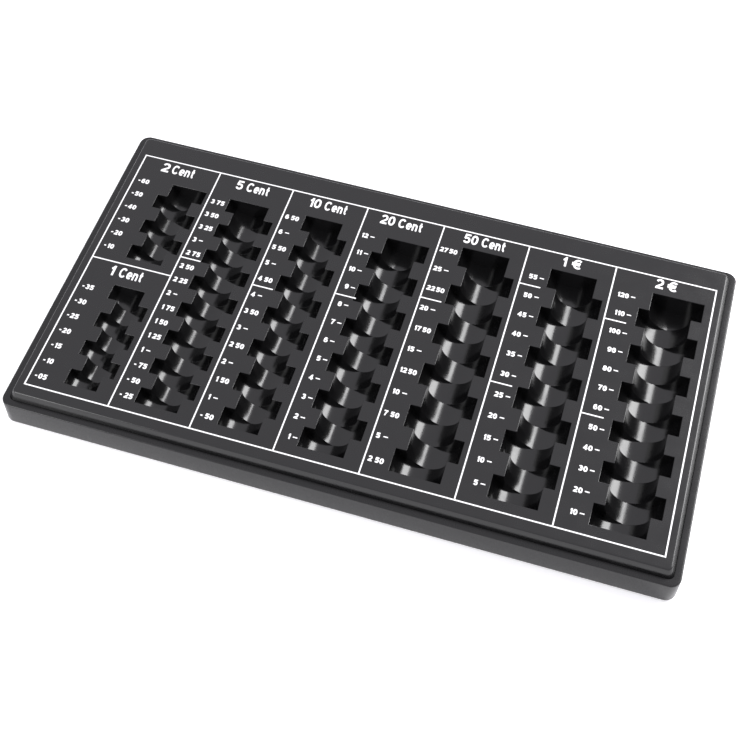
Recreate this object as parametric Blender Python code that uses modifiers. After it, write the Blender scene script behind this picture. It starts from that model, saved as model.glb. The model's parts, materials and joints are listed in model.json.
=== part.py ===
# Counting tray for euro coins, seen from the side where the small amounts lie in front.
# A counting board with staggered half-round wells sits in a shallow base tray. Six screws
# come up through the base into bosses under the board, and four rubber feet carry it all.
# Origin: middle of the footprint at the level the feet stand on. +X runs from the 1 cent
# column to the 2 euro column, +Y to the back where the headings are, +Z up.

import math
import bpy
import bmesh
from mathutils import Matrix, Vector

MM = 0.001
GAP = 0.3 * MM                      # left between pieces that touch

# Outside of the tray
TRAY_X = 328.8 * MM
TRAY_Y = 183.2 * MM
TRAY_CORNER = 5.5 * MM
FOOT_PROUD = 1.0 * MM               # the base hangs this far above the table
WALL_HEIGHT = 14.5 * MM             # from the base's underside to its flat rim
BOARD_STEP = 4.8 * MM               # the board stands this far above the rim
RIM_WIDTH = 3.5 * MM
RIM_SEAM = 0.4 * MM                 # dark joint between rim and board
FLOOR_THICKNESS = 2.0 * MM
RIM_ROUNDING = 0.7 * MM
BASE_FLARE = 0.35 * MM               # draft of the outer wall, wider at the bottom

# Counting board
BOARD_DRAFT = 2.0 * MM              # lean of the board's raised edge
BOARD_CORNER = 2.8 * MM
BOARD_ROUNDING = 0.9 * MM
BOARD_SKIRT = 3.5 * MM              # depth of the edge that sits inside the rim
BOARD_WALL = 2.4 * MM
PLATE_THICKNESS = 2.0 * MM
WELL_WALL = 1.8 * MM
WELL_STAGGER = 5.2 * MM             # sideways step between one pocket and the next
WELL_SIDES = 16                     # flats of a full circle, flats touch the coin
POCKET_COINS = 5

# Printed frame, which the wells are set out from
PRINT_LEFT = -154.6 * MM
PRINT_FRONT = -80.0 * MM
FIRST_POCKET = 5.9 * MM             # from the front line to the first pocket

# One entry per coin: diameter, thickness, end play of five coins, number of pockets,
# column centre from the left line, extra distance from the front line. All in millimetres.
COLUMNS = {
    "cent_1": dict(coin=16.25, thick=1.67, play=0.47, pockets=7, x=28.65, y=0.0),
    "cent_2": dict(coin=18.75, thick=1.67, play=0.45, pockets=6, x=28.50, y=79.85),
    "cent_5": dict(coin=21.25, thick=1.67, play=0.47, pockets=15, x=67.35, y=0.0),
    "cent_10": dict(coin=19.75, thick=1.93, play=0.61, pockets=13, x=108.50, y=0.0),
    "cent_20": dict(coin=22.25, thick=2.14, play=0.27, pockets=12, x=149.30, y=0.0),
    "cent_50": dict(coin=24.25, thick=2.38, play=0.57, pockets=11, x=194.70, y=0.0),
    "euro_1": dict(coin=23.25, thick=2.33, play=0.82, pockets=11, x=240.80, y=0.0),
    "euro_2": dict(coin=25.75, thick=2.20, play=0.43, pockets=12, x=289.20, y=0.0),
}
COIN_PLAY = 0.3 * MM                # width of a well beyond its coin

# Screws, bosses and feet
SCREW_PLACES = {
    "screw_back_left": (-126.0, 76.0),
    "screw_back_middle": (17.4, 76.0),
    "screw_back_right": (126.0, 76.0),
    "screw_front_left": (-148.0, -48.0),
    "screw_front_middle": (17.4, -66.0),
    "screw_front_right": (110.4, -66.0),
}
SHANK_RADIUS = 1.3 * MM
SHANK_LENGTH = 10.0 * MM
HEAD_RADIUS = 2.8 * MM
HEAD_HEIGHT = 1.4 * MM
HEAD_SUNK = 0.3 * MM                # head below the base's underside
RECESS_SPAN = 3.0 * MM              # cross recess in the head
RECESS_WIDTH = 0.7 * MM
RECESS_DEPTH = 0.8 * MM
HEAD_BORE_RADIUS = 3.2 * MM
SHANK_BORE_RADIUS = 1.7 * MM
PILOT_RADIUS = 1.6 * MM
PILOT_TOP = 14.0 * MM
PAD_RADIUS = 5.0 * MM
PAD_HEIGHT = 4.0 * MM               # screw pads above the base's underside
BOSS_RADIUS = 3.5 * MM

FOOT_PLACES = {
    "foot_front_left": (-1, -1),
    "foot_front_right": (1, -1),
    "foot_back_left": (-1, 1),
    "foot_back_right": (1, 1),
}
FOOT_INSET = 16.0 * MM              # from the tray's outer edges to a foot's centre
FOOT_RADIUS = 6.0 * MM
FOOT_RECESS = 0.8 * MM
FOOT_CHAMFER = 0.3 * MM

# Levels and outlines that follow from the sizes above
BASE_BOTTOM = FOOT_PROUD
FLOOR_TOP = BASE_BOTTOM + FLOOR_THICKNESS
RIM_TOP = BASE_BOTTOM + WALL_HEIGHT
BOARD_TOP = RIM_TOP + BOARD_STEP
BOARD_X = TRAY_X - 2 * (RIM_WIDTH + RIM_SEAM)
BOARD_Y = TRAY_Y - 2 * (RIM_WIDTH + RIM_SEAM)
PAD_TOP = BASE_BOTTOM + PAD_HEIGHT
BOSS_BOTTOM = PAD_TOP + GAP
OVERSHOOT = 1.0 * MM                # how far a cutter or a joined piece runs past a face


def clear_scene():
    for item in list(bpy.data.objects):
        bpy.data.objects.remove(item, do_unlink=True)


def make_collection(name):
    group = bpy.data.collections.new(name)
    bpy.context.scene.collection.children.link(group)
    return group


def plastic(name, colour, roughness, metallic=0.0):
    material = bpy.data.materials.new(name)
    material.use_nodes = True
    shader = material.node_tree.nodes["Principled BSDF"]
    shader.inputs["Base Color"].default_value = (*colour, 1.0)
    shader.inputs["Roughness"].default_value = roughness
    shader.inputs["Metallic"].default_value = metallic
    return material


def object_from(name, mesh_data, group, material=None):
    item = bpy.data.objects.new(name, mesh_data)
    if material:
        mesh_data.materials.append(material)
    group.objects.link(item)
    return item


def finished_mesh(bm, name):
    bmesh.ops.recalc_face_normals(bm, faces=bm.faces)
    mesh_data = bpy.data.meshes.new(name)
    bm.to_mesh(mesh_data)
    bm.free()
    return mesh_data


def rounded_block(size_x, size_y, bottom, top, corner, sides=5):
    # A box whose four upright edges are rounded.
    bm = bmesh.new()
    scale = Matrix.Diagonal((size_x, size_y, top - bottom, 1.0))
    place = Matrix.Translation((0.0, 0.0, (top + bottom) / 2))
    bmesh.ops.create_cube(bm, size=1.0, matrix=place @ scale)
    upright = [e for e in bm.edges if abs(e.verts[0].co.z - e.verts[1].co.z) > OVERSHOOT / 2]
    bmesh.ops.bevel(bm, geom=upright, offset=corner, segments=sides, profile=0.5, affect='EDGES')
    return bm


def pull_in(bm, level, amount):
    # Moves the corners of the outline at one level inwards, which gives a wall its draft.
    for vert in bm.verts:
        if abs(vert.co.z - level) < GAP / 10:
            vert.co.x -= math.copysign(amount, vert.co.x)
            vert.co.y -= math.copysign(amount, vert.co.y)


def round_edge(bm, level, width, sides):
    ring = [e for e in bm.edges if all(abs(v.co.z - level) < GAP / 10 for v in e.verts)]
    bmesh.ops.bevel(bm, geom=ring, offset=width, segments=sides, profile=0.5, affect='EDGES')


def add_post(bm, x, y, bottom, top, radius, sides=16):
    place = Matrix.Translation((x, y, (top + bottom) / 2))
    bmesh.ops.create_cone(bm, cap_ends=True, segments=sides, radius1=radius, radius2=radius,
                          depth=top - bottom, matrix=place)


def add_trough(bm, x, front, back, half_width, depth, level, sides):
    # A lying cylinder whose flats touch the given half width and depth.
    outside = 1.0 / math.cos(math.pi / sides)
    turn = Matrix.Rotation(math.pi / 2, 4, 'X')
    half_flat = Matrix.Rotation(math.pi / sides, 4, 'Z')
    stretch = Matrix.Diagonal((half_width * outside, back - front, depth * outside, 1.0))
    place = Matrix.Translation((x, (front + back) / 2, level))
    made = bmesh.ops.create_cone(bm, cap_ends=True, segments=sides, radius1=1.0, radius2=1.0,
                                 depth=1.0, matrix=place @ stretch @ turn @ half_flat)
    return made["verts"]


def halve(bm, level):
    # Keeps what is below the level and closes the cut of every trough.
    parts = bm.verts[:] + bm.edges[:] + bm.faces[:]
    bmesh.ops.bisect_plane(bm, geom=parts, plane_co=(0.0, 0.0, level), plane_no=(0.0, 0.0, 1.0),
                           clear_outer=True)
    open_edges = [e for e in bm.edges if e.is_boundary]
    bmesh.ops.holes_fill(bm, edges=open_edges)


def boolean(target, tool, operation):
    modifier = target.modifiers.new(operation.lower() + "_" + tool.name, 'BOOLEAN')
    modifier.operation = operation
    modifier.solver = 'EXACT'
    modifier.object = tool


def cutter(name, bm, group):
    item = object_from(name, finished_mesh(bm, name), group)
    item.hide_render = True
    item.display_type = 'WIRE'
    return item


def column_layout(column):
    # Radius of a well, pitch of its pockets, column centre and the front of its first pocket.
    radius = (column["coin"] * MM + COIN_PLAY) / 2
    pitch = (POCKET_COINS * column["thick"] + column["play"]) * MM
    centre = PRINT_LEFT + column["x"] * MM
    front = PRINT_FRONT + FIRST_POCKET + column["y"] * MM
    return radius, pitch, centre, front


def well_forms(side):
    # Every second pocket: side -1 makes the left ones, starting in front, side 1 the right ones.
    bm = bmesh.new()
    overlap = OVERSHOOT / 10 if side > 0 else 0.0
    for column in COLUMNS.values():
        radius, pitch, centre, front = column_layout(column)
        for number in range(0 if side < 0 else 1, column["pockets"], 2):
            start = front + number * pitch
            add_trough(bm, centre + side * WELL_STAGGER / 2, start - overlap,
                       start + pitch + overlap, radius, radius, BOARD_TOP, WELL_SIDES)
    return bm


def channel_forms():
    # The outside of each row of wells, under the plate.
    bm = bmesh.new()
    for column in COLUMNS.values():
        radius, pitch, centre, front = column_layout(column)
        back = front + column["pockets"] * pitch
        add_trough(bm, centre, front - WELL_WALL, back + WELL_WALL,
                   radius + WELL_STAGGER / 2 + WELL_WALL, radius + WELL_WALL, BOARD_TOP, 20)
    halve(bm, BOARD_TOP - PLATE_THICKNESS / 2)
    return bm


def screw_posts(bottom, top, radius):
    bm = bmesh.new()
    for x, y in SCREW_PLACES.values():
        add_post(bm, x * MM, y * MM, bottom, top, radius)
    return bm


def foot_centre(side_x, side_y):
    return side_x * (TRAY_X / 2 - FOOT_INSET), side_y * (TRAY_Y / 2 - FOOT_INSET)


def make_board(group, tools, material):
    block = rounded_block(BOARD_X, BOARD_Y, RIM_TOP - BOARD_SKIRT, BOARD_TOP, BOARD_CORNER)
    parts = block.verts[:] + block.edges[:] + block.faces[:]
    bmesh.ops.bisect_plane(block, geom=parts, plane_co=(0.0, 0.0, RIM_TOP), plane_no=(0.0, 0.0, 1.0))
    pull_in(block, BOARD_TOP, BOARD_DRAFT)
    round_edge(block, BOARD_TOP, BOARD_ROUNDING, 2)
    board = object_from("counting_board", finished_mesh(block, "counting_board"), group, material)

    hollow = rounded_block(BOARD_X - 2 * BOARD_WALL, BOARD_Y - 2 * BOARD_WALL,
                           RIM_TOP - BOARD_SKIRT - OVERSHOOT, BOARD_TOP - PLATE_THICKNESS,
                           BOARD_CORNER / 2, 3)
    boolean(board, cutter("board_hollow", hollow, tools), 'DIFFERENCE')
    boolean(board, cutter("channel_outside", channel_forms(), tools), 'UNION')
    bosses = screw_posts(BOSS_BOTTOM, BOARD_TOP - PLATE_THICKNESS / 2, BOSS_RADIUS)
    boolean(board, cutter("board_bosses", bosses, tools), 'UNION')
    boolean(board, cutter("wells_left", well_forms(-1), tools), 'DIFFERENCE')
    boolean(board, cutter("wells_right", well_forms(1), tools), 'DIFFERENCE')
    pilots = screw_posts(BOSS_BOTTOM - OVERSHOOT, PILOT_TOP, PILOT_RADIUS)
    boolean(board, cutter("pilot_holes", pilots, tools), 'DIFFERENCE')
    return board


def make_base(group, tools, material):
    block = rounded_block(TRAY_X, TRAY_Y, BASE_BOTTOM, RIM_TOP, TRAY_CORNER)
    pull_in(block, RIM_TOP, BASE_FLARE)
    round_edge(block, RIM_TOP, RIM_ROUNDING, 1)
    round_edge(block, BASE_BOTTOM, RIM_ROUNDING, 1)
    base = object_from("base_tray", finished_mesh(block, "base_tray"), group, material)

    hollow = rounded_block(TRAY_X - 2 * RIM_WIDTH, TRAY_Y - 2 * RIM_WIDTH, FLOOR_TOP,
                           RIM_TOP + OVERSHOOT, BOARD_CORNER + RIM_SEAM)
    boolean(base, cutter("base_hollow", hollow, tools), 'DIFFERENCE')
    pads = screw_posts(FLOOR_TOP - OVERSHOOT, PAD_TOP, PAD_RADIUS)
    boolean(base, cutter("screw_pads", pads, tools), 'UNION')
    bores = screw_posts(BASE_BOTTOM - OVERSHOOT, PAD_TOP + OVERSHOOT, SHANK_BORE_RADIUS)
    boolean(base, cutter("shank_bores", bores, tools), 'DIFFERENCE')
    head_top = BASE_BOTTOM + HEAD_SUNK + HEAD_HEIGHT + GAP
    head_bores = screw_posts(BASE_BOTTOM - OVERSHOOT, head_top, HEAD_BORE_RADIUS)
    boolean(base, cutter("head_bores", head_bores, tools), 'DIFFERENCE')
    recesses = bmesh.new()
    for side_x, side_y in FOOT_PLACES.values():
        x, y = foot_centre(side_x, side_y)
        add_post(recesses, x, y, BASE_BOTTOM - OVERSHOOT, BASE_BOTTOM + FOOT_RECESS,
                 FOOT_RADIUS + GAP, 24)
    boolean(base, cutter("foot_recesses", recesses, tools), 'DIFFERENCE')
    return base


def turned(name, profile, sides, group, material):
    # Spins a profile about Z. The profile runs down its outer side, from top to bottom.
    mesh_data = bpy.data.meshes.new(name)
    edges = [(i, i + 1) for i in range(len(profile) - 1)]
    mesh_data.from_pydata([(radius, 0.0, height) for radius, height in profile], edges, [])
    item = object_from(name, mesh_data, group, material)
    spin = item.modifiers.new("turn", 'SCREW')
    spin.steps = sides
    spin.render_steps = sides
    spin.use_merge_vertices = True
    spin.merge_threshold = 0.00001
    return item


def freeze(item):
    # Turns an object and its modifiers into a plain mesh that copies can share.
    graph = bpy.context.evaluated_depsgraph_get()
    mesh_data = bpy.data.meshes.new_from_object(item.evaluated_get(graph))
    item.modifiers.clear()
    item.data = mesh_data
    mesh_data.shade_smooth()
    mesh_data.set_sharp_from_angle(angle=math.radians(30))
    return mesh_data


def place_copies(first, places, height, group):
    names = list(places)
    for name in names:
        item = first if name == names[0] else bpy.data.objects.new(name, first.data)
        if item is not first:
            group.objects.link(item)
        x, y = places[name]
        item.location = Vector((x, y, height))


def make_screws(group, tools, material):
    # Pan head below, shank up, with the underside of the head at height 0.
    profile = [
        (0.0, SHANK_LENGTH),
        (SHANK_RADIUS * 0.4, SHANK_LENGTH),
        (SHANK_RADIUS, SHANK_LENGTH - 1.2 * MM),
        (SHANK_RADIUS, 0.0),
        (HEAD_RADIUS, 0.0),
        (HEAD_RADIUS, -HEAD_HEIGHT * 0.6),
        (HEAD_RADIUS * 0.8, -HEAD_HEIGHT),
        (0.0, -HEAD_HEIGHT),
    ]
    first = turned(next(iter(SCREW_PLACES)), profile, 20, group, material)
    for span_x, span_y in ((RECESS_SPAN, RECESS_WIDTH), (RECESS_WIDTH, RECESS_SPAN)):
        scale = Matrix.Diagonal((span_x, span_y, 2 * RECESS_DEPTH, 1.0))
        bar = bmesh.new()
        bmesh.ops.create_cube(bar, size=1.0, matrix=Matrix.Translation((0, 0, -HEAD_HEIGHT)) @ scale)
        tool = cutter("recess_bar_" + str(len(tools.objects)), bar, tools)
        boolean(first, tool, 'DIFFERENCE')
    freeze(first)
    head_level = BASE_BOTTOM + HEAD_SUNK + HEAD_HEIGHT
    places = {name: (x * MM, y * MM) for name, (x, y) in SCREW_PLACES.items()}
    place_copies(first, places, head_level, group)


def make_feet(group, material):
    height = BASE_BOTTOM + FOOT_RECESS - GAP
    profile = [
        (0.0, height),
        (FOOT_RADIUS, height),
        (FOOT_RADIUS, FOOT_CHAMFER),
        (FOOT_RADIUS - FOOT_CHAMFER, 0.0),
        (0.0, 0.0),
    ]
    first = turned(next(iter(FOOT_PLACES)), profile, 24, group, material)
    freeze(first)
    places = {name: foot_centre(*sides) for name, sides in FOOT_PLACES.items()}
    place_copies(first, places, 0.0, group)


def main():
    clear_scene()
    tray = make_collection("coin_counting_tray")
    tools = make_collection("cutters")
    make_board(tray, tools, plastic("board_plastic", (0.028, 0.027, 0.030), 0.42))
    make_base(tray, tools, plastic("tray_plastic", (0.030, 0.029, 0.032), 0.45))
    make_screws(tray, tools, plastic("screw_steel", (0.55, 0.55, 0.56), 0.35, 1.0))
    make_feet(tray, plastic("foot_rubber", (0.012, 0.012, 0.012), 0.8))


main()
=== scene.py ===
# Looks of the coin counting tray: a board with rows of half-round wells over a base tray.
# The axes are the frame's own: +X from the 1 cent row to the 2 euro row, +Y to the back, +Z up.

import json
import math
import bpy
import bmesh
from mathutils import Matrix, Vector

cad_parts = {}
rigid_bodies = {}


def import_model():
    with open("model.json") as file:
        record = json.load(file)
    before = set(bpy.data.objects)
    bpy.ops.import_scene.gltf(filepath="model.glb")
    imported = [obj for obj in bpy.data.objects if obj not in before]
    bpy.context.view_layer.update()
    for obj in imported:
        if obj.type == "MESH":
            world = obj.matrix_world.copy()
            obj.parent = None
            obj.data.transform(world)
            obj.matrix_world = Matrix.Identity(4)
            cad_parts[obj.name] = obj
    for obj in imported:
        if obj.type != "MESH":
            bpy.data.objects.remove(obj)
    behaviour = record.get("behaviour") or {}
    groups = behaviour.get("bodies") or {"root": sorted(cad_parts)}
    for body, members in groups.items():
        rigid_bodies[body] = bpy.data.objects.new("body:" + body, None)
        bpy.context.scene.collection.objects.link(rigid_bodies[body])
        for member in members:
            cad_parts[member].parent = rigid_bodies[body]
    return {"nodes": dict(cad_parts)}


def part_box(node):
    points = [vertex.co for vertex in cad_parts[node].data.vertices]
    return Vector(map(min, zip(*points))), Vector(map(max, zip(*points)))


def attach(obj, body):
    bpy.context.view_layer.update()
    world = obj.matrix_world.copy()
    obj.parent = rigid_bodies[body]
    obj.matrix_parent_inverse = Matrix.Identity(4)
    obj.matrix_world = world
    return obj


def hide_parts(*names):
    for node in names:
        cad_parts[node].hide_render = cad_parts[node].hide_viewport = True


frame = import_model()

mm = 0.001
scene = bpy.context.scene
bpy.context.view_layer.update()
boardLow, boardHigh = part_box("counting_board")
trayLow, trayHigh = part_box("base_tray")
inkThickness = 0.03 * mm
topLevel = boardHigh.z - inkThickness        # the ink's top is the highest level
seamLevel = trayHigh.z                       # the base tray's rim
sameLevel = 1e-6                             # metres
samePlace = 1e-7
screwNodes = [name for name in frame["nodes"] if name.startswith("screw")]
footNodes = [name for name in frame["nodes"] if name.startswith("foot")]


class Field:
    # A number in a node tree: sums and products of fields become Math nodes.
    def __init__(self, tree, socket):
        self.tree, self.socket = tree, socket

    def math(self, operation, *others):
        inputs = dict(enumerate((self, *others)))
        made = addNode(self.tree, 'ShaderNodeMath', inputs, operation=operation)
        return Field(self.tree, made.outputs[0])

    def __add__(self, other):
        return self.math('ADD', other)

    def __sub__(self, other):
        return self.math('SUBTRACT', other)

    def __mul__(self, other):
        return self.math('MULTIPLY', other)

    def __truediv__(self, other):
        return self.math('DIVIDE', other)

    def __radd__(self, other):
        return self + other

    def __rsub__(self, other):
        return self * -1.0 + other

    def __rmul__(self, other):
        return self * other


def addNode(tree, kind, inputs=None, **settings):
    # Inputs are named or numbered. A field or a socket is linked, anything else is a fixed value.
    made = tree.nodes.new(kind)
    made.location = (len(tree.nodes) * 60, 200 + len(tree.nodes) % 5 * 160)
    for name, value in settings.items():
        setattr(made, name, value)
    for name, value in (inputs or {}).items():
        if isinstance(value, Field):
            value = value.socket
        if isinstance(value, bpy.types.NodeSocket):
            tree.links.new(value, made.inputs[name])
        else:
            made.inputs[name].default_value = value
    return made


def newShapeTree(name, inputs):
    # An empty geometry tree with named inputs; gives the tree and a field for each input.
    tree = bpy.data.node_groups.new(name, 'GeometryNodeTree')
    for label, kind in inputs:
        tree.interface.new_socket(name=label, in_out='INPUT', socket_type='NodeSocket' + kind)
    tree.interface.new_socket(name="Mesh", in_out='OUTPUT', socket_type='NodeSocketGeometry')
    entry = tree.nodes.new('NodeGroupInput')
    return tree, {label: Field(tree, entry.outputs[label]) for label, kind in inputs}


def closeTree(tree, shape, material):
    # Every tree ends in Realize Instances and Set Material.
    real = addNode(tree, 'GeometryNodeRealizeInstances', {"Geometry": shape})
    painted = addNode(tree, 'GeometryNodeSetMaterial',
                      {"Geometry": real.outputs[0], "Material": material})
    tree.links.new(painted.outputs[0], tree.nodes.new('NodeGroupOutput').inputs[0])


def addObject(name, data):
    made = bpy.data.objects.new(name, data)
    scene.collection.objects.link(made)
    return made


def meshFromTree(tree, values, points=None):
    # Runs a tree on a holder object and gives back its plain mesh.
    holder = addObject("holder", points or bpy.data.meshes.new("holder"))
    modifier = holder.modifiers.new(tree.name, 'NODES')
    modifier.node_group = tree
    for item in tree.interface.items_tree:
        if item.in_out == 'INPUT' and item.name in values:
            modifier[item.identifier] = values[item.name]
    graph = bpy.context.evaluated_depsgraph_get()
    mesh = bpy.data.meshes.new_from_object(holder.evaluated_get(graph))
    bpy.data.objects.remove(holder)
    return mesh


def roundedProfile(corners, steps):
    # Corners are (inset, level, radius). Each one between the two ends becomes an arc if it has a radius.
    profile = []
    for number, (inset, level, radius) in enumerate(corners):
        here = Vector((inset, level))
        if radius == 0.0 or number in (0, len(corners) - 1):
            profile.append(here)
            continue
        back = (Vector(corners[number - 1][:2]) - here).normalized()
        ahead = (Vector(corners[number + 1][:2]) - here).normalized()
        half = back.angle(ahead) / 2
        middle = here + (back + ahead).normalized() * (radius / math.sin(half))
        start = here + back * (radius / math.tan(half)) - middle
        end = here + ahead * (radius / math.tan(half)) - middle
        turn = start.angle_signed(end)
        for step in range(steps + 1):
            spoke = Matrix.Rotation(-turn * step / steps, 2) @ start
            profile.append(middle + spoke)
    return profile


def outline(halfX, halfY, radius, steps):
    # Points of a rounded rectangle, anticlockwise from above.
    points = []
    for quarter, (sideX, sideY) in enumerate(((1, 1), (-1, 1), (-1, -1), (1, -1))):
        for step in range(steps + 1):
            angle = math.radians(90.0 * (quarter + step / steps))
            points.append((sideX * (halfX - radius) + radius * math.cos(angle),
                           sideY * (halfY - radius) + radius * math.sin(angle)))
    return points


def bridge(bm, rings):
    # Quads between closed rings of the same length.
    for lower, upper in zip(rings, rings[1:]):
        for a in range(len(lower)):
            b = (a + 1) % len(lower)
            bm.faces.new((lower[a], lower[b], upper[b], upper[a]))


def ringEdges(bm, ring):
    return [bm.edges.get((a, b)) or bm.edges.new((a, b)) for a, b in zip(ring, ring[1:] + ring[:1])]


def shellRings(bm, halfX, halfY, corner, profile, steps, shrink, least=0.6 * mm):
    # One rounded rectangle for each (inset, level). A ring's corner radius is smaller by the share
    # shrink of its inset, down to the least radius.
    rings = []
    for inset, level in profile:
        radius = max(corner - inset * shrink, least)
        points = outline(halfX - inset, halfY - inset, radius, steps)
        rings.append([bm.verts.new((x, y, level)) for x, y in points])
    bridge(bm, rings)
    return rings


def turnedRings(bm, centre, profile, steps, closed=False):
    # Circles about an upright axis, one for each (radius, level); closed caps the last one.
    rings = []
    for radius, level in profile:
        rings.append([bm.verts.new((centre[0] + radius * math.cos(math.tau * n / steps),
                                    centre[1] + radius * math.sin(math.tau * n / steps), level))
                      for n in range(steps)])
    bridge(bm, rings)
    if closed:
        bm.faces.new(rings[-1])
    return rings


def fillBetween(bm, loops):
    # A flat face with holes, from closed loops of vertices at one level.
    edges = [edge for loop in loops for edge in ringEdges(bm, loop)]
    bmesh.ops.triangle_fill(bm, edges=edges, use_beauty=True, use_dissolve=False,
                            normal=(0.0, 0.0, 1.0))


def outwardMesh(bm, name):
    # Makes a plain mesh whose faces point outwards.
    bmesh.ops.recalc_face_normals(bm, faces=bm.faces[:])
    mesh = bpy.data.meshes.new(name)
    bm.to_mesh(mesh)
    bm.free()
    return mesh


def nodeCentre(name):
    low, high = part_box(name)
    return (low.x + high.x) / 2, (low.y + high.y) / 2


def finishPiece(bm, name, material, cadNodes, sharpFrom=32.0):
    # Makes the visible piece that stands for its CAD nodes. Printed pieces stand for none.
    mesh = outwardMesh(bm, name)
    mesh.materials.clear()
    mesh.materials.append(material)
    mesh.shade_smooth()
    sharpEdges = [edge.use_edge_sharp for edge in mesh.edges]
    mesh.set_sharp_from_angle(angle=math.radians(sharpFrom))
    for edge, sharp in zip(mesh.edges, sharpEdges):
        edge.use_edge_sharp = edge.use_edge_sharp or sharp
    piece = addObject(name, mesh)
    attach(piece, "root")
    if cadNodes:
        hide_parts(*cadNodes)
    print(name, len(mesh.polygons), "faces")


def newMaterial(name, baseColour, roughness, metallic=0.0):
    material = bpy.data.materials.new(name)
    material.use_nodes = True
    shader = material.node_tree.nodes["Principled BSDF"]
    shader.inputs["Base Color"].default_value = (*baseColour, 1.0)
    shader.inputs["Roughness"].default_value = roughness
    shader.inputs["Metallic"].default_value = metallic
    return material, material.node_tree, shader


def addBump(tree, shader, height, strength, depth):
    bump = addNode(tree, 'ShaderNodeBump', {"Height": height, "Strength": strength, "Distance": depth})
    tree.links.new(bump.outputs["Normal"], shader.inputs["Normal"])


def mottle(tree, shader, factor, dark, light):
    # The colour wanders between two tones over the surface.
    shade = addNode(tree, 'ShaderNodeMix', {"Factor": factor}, data_type='RGBA')
    shade.inputs["A"].default_value = (*dark, 1.0)
    shade.inputs["B"].default_value = (*light, 1.0)
    tree.links.new(shade.outputs["Result"], shader.inputs["Base Color"])


def mixRange(tree, factor, low, high, outLow, outHigh):
    made = addNode(tree, 'ShaderNodeMapRange', {"Value": factor, "From Min": low, "From Max": high,
                                                "To Min": outLow, "To Max": outHigh})
    return made.outputs["Result"]


def surfaceNoise(tree, size, detail=2.0, roughness=0.5):
    # Noise in the piece's own coordinates. Size is the width of one patch.
    place = tree.nodes.get("Place") or addNode(tree, 'ShaderNodeTexCoord', name="Place")
    return addNode(tree, 'ShaderNodeTexNoise', {"Vector": place.outputs["Object"],
                                                "Scale": 1.0 / size, "Detail": detail,
                                                "Roughness": roughness}).outputs["Fac"]


boardFinish = dict(tone=0.0035, satin=0.25, polished=0.18, grain=0.35, specular=0.5)
trayFinish = dict(tone=0.0045, satin=0.27, polished=0.25, grain=0.45, specular=0.4)
plasticGrain = dict(patch=9.0 * mm, patchRoughness=0.025, speck=0.45 * mm, depth=0.02 * mm,
                    polishedDepth=0.15)      # share of the depth left where it is polished


def mouldedPlastic(name, tone, satin, polished, grain, specular):
    # Black moulded plastic: satin outside, glossier where the mould was polished.
    material, tree, shader = newMaterial(name, (tone, tone, tone * 1.06), satin)
    shader.inputs["Specular IOR Level"].default_value = specular
    finish = addNode(tree, 'ShaderNodeAttribute', attribute_name="polish").outputs["Fac"]
    cloud = surfaceNoise(tree, plasticGrain["patch"], 3.0)
    fine = surfaceNoise(tree, plasticGrain["speck"], 2.0, 0.6)
    spread = plasticGrain["patchRoughness"]
    gloss = Field(tree, mixRange(tree, finish, 0.0, 1.0, satin, polished))
    patchy = Field(tree, mixRange(tree, cloud, 0.35, 0.65, -spread, spread))
    speck = Field(tree, mixRange(tree, fine, 0.3, 0.7, -0.02, 0.03))
    tree.links.new((gloss + patchy + speck).socket, shader.inputs["Roughness"])
    mottle(tree, shader, cloud, (tone * 0.9, tone * 0.9, tone * 0.95),
           (tone * 1.15, tone * 1.12, tone * 1.18))
    depth = Field(tree, mixRange(tree, finish, 0.0, 1.0, 1.0, plasticGrain["polishedDepth"]))
    addBump(tree, shader, Field(tree, fine) * depth, grain, plasticGrain["depth"])
    return material


boardPlastic = mouldedPlastic("boardPlastic", **boardFinish)
trayPlastic = mouldedPlastic("trayPlastic", **trayFinish)


def brushedSteel():
    material, tree, shader = newMaterial("screwSteel", (0.42, 0.42, 0.43), 0.34, 1.0)
    fine = surfaceNoise(tree, 0.2 * mm, 3.0)
    tree.links.new(mixRange(tree, fine, 0.3, 0.7, 0.26, 0.42), shader.inputs["Roughness"])
    addBump(tree, shader, fine, 0.2, 0.01 * mm)
    return material


def rubber():
    material, tree, shader = newMaterial("footRubber", (0.011, 0.011, 0.011), 0.8)
    cloud = surfaceNoise(tree, 1.2 * mm, 4.0)
    tree.links.new(mixRange(tree, cloud, 0.3, 0.7, 0.72, 0.9), shader.inputs["Roughness"])
    addBump(tree, shader, cloud, 0.4, 0.05 * mm)
    return material


def whiteInk():
    # Screen-printed ink, a little thinner in places.
    material, tree, shader = newMaterial("whiteInk", (0.86, 0.86, 0.85), 0.5)
    cloud = surfaceNoise(tree, 0.35 * mm, 3.0)
    cover = mixRange(tree, cloud, 0.35, 0.62, 0.0, 1.0)
    mottle(tree, shader, cover, (0.76, 0.76, 0.76), (0.90, 0.90, 0.89))
    addBump(tree, shader, cloud, 0.3, 0.01 * mm)
    return material


ink = whiteInk()
print("materials ready")


# One entry for each coin, in millimetres: diameter, thickness, end play of five coins, number of
# pockets, the row's centre from the printed frame's left line, and how much further back it starts.
coinRows = {
    "cent1": dict(coin=16.25, thick=1.67, play=0.47, pockets=7, x=28.65, y=0.0),
    "cent2": dict(coin=18.75, thick=1.67, play=0.45, pockets=6, x=28.50, y=79.85),
    "cent5": dict(coin=21.25, thick=1.67, play=0.47, pockets=15, x=67.35, y=0.0),
    "cent10": dict(coin=19.75, thick=1.93, play=0.61, pockets=13, x=108.50, y=0.0),
    "cent20": dict(coin=22.25, thick=2.14, play=0.27, pockets=12, x=149.30, y=0.0),
    "cent50": dict(coin=24.25, thick=2.38, play=0.57, pockets=11, x=194.70, y=0.0),
    "euro1": dict(coin=23.25, thick=2.33, play=0.82, pockets=11, x=240.80, y=0.0),
    "euro2": dict(coin=25.75, thick=2.20, play=0.43, pockets=12, x=289.20, y=0.0),
}
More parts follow.
